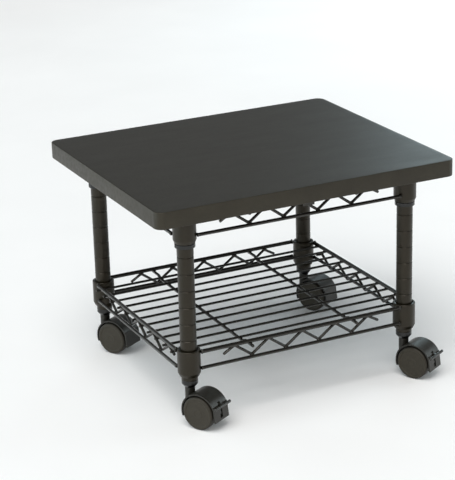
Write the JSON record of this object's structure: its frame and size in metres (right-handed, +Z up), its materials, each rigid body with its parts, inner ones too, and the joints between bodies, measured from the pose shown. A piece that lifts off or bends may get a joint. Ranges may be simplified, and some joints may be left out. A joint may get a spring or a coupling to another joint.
{
  "type": "mobile printer stand",
  "caption": "Low mobile stand with a dark laminated rectangular top on a black wire-shelf frame, grooved corner posts and swivelling twin-wheel casters, the front pair with brakes.",
  "frame": {"origin": "on the floor, in the middle of the footprint of the top and the parked casters", "axes": "+X to the right along the long side, +Y to the back, +Z up"},
  "size_m": [0.4826, 0.4228, 0.3429],
  "materials": {
    "particleboard": "raw chipboard",
    "top_laminate": "satin, fine texture",
    "edge_band": "matte",
    "coated_wire": "glossy black powder coat",
    "coated_collar": "satin black powder coat",
    "coated_post": "satin black powder coat",
    "sleeve_plastic": "matte black moulding",
    "hood_nylon": "fine textured moulding, soft gloss",
    "wheel_nylon": "matte moulding",
    "lever_plastic": "soft gloss moulding",
    "zinc_steel": "zinc plated"
  },
  "bodies": {
    "stand": {"board_bracket_screws": "zinc_steel", "board_brackets": "coated_wire", "board_core": "particleboard", "board_edge_band": "edge_band", "board_top_laminate": "top_laminate", "caster_stem_front_left": "zinc_steel", "caster_stem_front_right": "zinc_steel", "caster_stem_rear_left": "zinc_steel", "caster_stem_rear_right": "zinc_steel", "lower_shelf_collars": "coated_collar", "lower_shelf_low_rails": "coated_wire", "lower_shelf_mat_wires": "coated_wire", "lower_shelf_sleeves": "sleeve_plastic", "lower_shelf_support_wires": "coated_wire", "lower_shelf_top_rails": "coated_wire", "lower_shelf_truss_front": "coated_wire", "lower_shelf_truss_left": "coated_wire", "lower_shelf_truss_rear": "coated_wire", "lower_shelf_truss_right": "coated_wire", "post_end_inserts": "sleeve_plastic", "post_front_left": "coated_post", "post_front_right": "coated_post", "post_rear_left": "coated_post", "post_rear_right": "coated_post", "post_top_caps": "sleeve_plastic", "upper_shelf_collars": "coated_collar", "upper_shelf_low_rails": "coated_wire", "upper_shelf_mat_wires": "coated_wire", "upper_shelf_sleeves": "sleeve_plastic", "upper_shelf_support_wires": "coated_wire", "upper_shelf_top_rails": "coated_wire", "upper_shelf_truss_front": "coated_wire", "upper_shelf_truss_left": "coated_wire", "upper_shelf_truss_rear": "coated_wire", "upper_shelf_truss_right": "coated_wire"},
    "caster_front_left": {"caster_hood_front_left": "hood_nylon", "caster_axle_front_left": "zinc_steel", "brake_pin_front_left": "zinc_steel"},
    "wheel_left_front_left": {"caster_wheel_left_front_left": "wheel_nylon"},
    "wheel_right_front_left": {"caster_wheel_right_front_left": "wheel_nylon"},
    "lever_front_left": {"brake_lever_front_left": "lever_plastic"},
    "caster_front_right": {"caster_hood_front_right": "hood_nylon", "caster_axle_front_right": "zinc_steel", "brake_pin_front_right": "zinc_steel"},
    "wheel_left_front_right": {"caster_wheel_left_front_right": "wheel_nylon"},
    "wheel_right_front_right": {"caster_wheel_right_front_right": "wheel_nylon"},
    "lever_front_right": {"brake_lever_front_right": "lever_plastic"},
    "caster_rear_left": {"caster_hood_rear_left": "hood_nylon", "caster_axle_rear_left": "zinc_steel"},
    "wheel_left_rear_left": {"caster_wheel_left_rear_left": "wheel_nylon"},
    "wheel_right_rear_left": {"caster_wheel_right_rear_left": "wheel_nylon"},
    "caster_rear_right": {"caster_hood_rear_right": "hood_nylon", "caster_axle_rear_right": "zinc_steel"},
    "wheel_left_rear_right": {"caster_wheel_left_rear_right": "wheel_nylon"},
    "wheel_right_rear_right": {"caster_wheel_right_rear_right": "wheel_nylon"}
  },
  "joints": [
    {"name": "swivel_front_left", "type": "hinge", "parent": "stand", "child": "caster_front_left", "pos_m": [-0.181, -0.1508, 0.04], "axis": [0, 0, 1], "continuous": true},
    {"name": "spin_left_front_left", "type": "hinge", "parent": "caster_front_left", "child": "wheel_left_front_left", "pos_m": [-0.1685, -0.17245, 0.0254], "axis": [0.866, 0.5, 0], "continuous": true},
    {"name": "spin_right_front_left", "type": "hinge", "parent": "caster_front_left", "child": "wheel_right_front_left", "pos_m": [-0.1685, -0.17245, 0.0254], "axis": [0.866, 0.5, 0], "continuous": true},
    {"name": "brake_front_left", "type": "hinge", "parent": "caster_front_left", "child": "lever_front_left", "pos_m": [-0.1595, -0.18804, 0.0384], "axis": [0.866, 0.5, 0], "range_deg": [0, 18]},
    {"name": "swivel_front_right", "type": "hinge", "parent": "stand", "child": "caster_front_right", "pos_m": [0.181, -0.1508, 0.04], "axis": [0, 0, 1], "continuous": true},
    {"name": "spin_left_front_right", "type": "hinge", "parent": "caster_front_right", "child": "wheel_left_front_right", "pos_m": [0.1935, -0.17245, 0.0254], "axis": [0.866, 0.5, 0], "continuous": true},
    {"name": "spin_right_front_right", "type": "hinge", "parent": "caster_front_right", "child": "wheel_right_front_right", "pos_m": [0.1935, -0.17245, 0.0254], "axis": [0.866, 0.5, 0], "continuous": true},
    {"name": "brake_front_right", "type": "hinge", "parent": "caster_front_right", "child": "lever_front_right", "pos_m": [0.2025, -0.18804, 0.0384], "axis": [0.866, 0.5, 0], "range_deg": [0, 18]},
    {"name": "swivel_rear_left", "type": "hinge", "parent": "stand", "child": "caster_rear_left", "pos_m": [-0.181, 0.1672, 0.04], "axis": [0, 0, 1], "continuous": true},
    {"name": "spin_left_rear_left", "type": "hinge", "parent": "caster_rear_left", "child": "wheel_left_rear_left", "pos_m": [-0.1685, 0.14555, 0.0254], "axis": [0.866, 0.5, 0], "continuous": true},
    {"name": "spin_right_rear_left", "type": "hinge", "parent": "caster_rear_left", "child": "wheel_right_rear_left", "pos_m": [-0.1685, 0.14555, 0.0254], "axis": [0.866, 0.5, 0], "continuous": true},
    {"name": "swivel_rear_right", "type": "hinge", "parent": "stand", "child": "caster_rear_right", "pos_m": [0.181, 0.1672, 0.04], "axis": [0, 0, 1], "continuous": true},
    {"name": "spin_left_rear_right", "type": "hinge", "parent": "caster_rear_right", "child": "wheel_left_rear_right", "pos_m": [0.1935, 0.14555, 0.0254], "axis": [0.866, 0.5, 0], "continuous": true},
    {"name": "spin_right_rear_right", "type": "hinge", "parent": "caster_rear_right", "child": "wheel_right_rear_right", "pos_m": [0.1935, 0.14555, 0.0254], "axis": [0.866, 0.5, 0], "continuous": true}
  ]
}
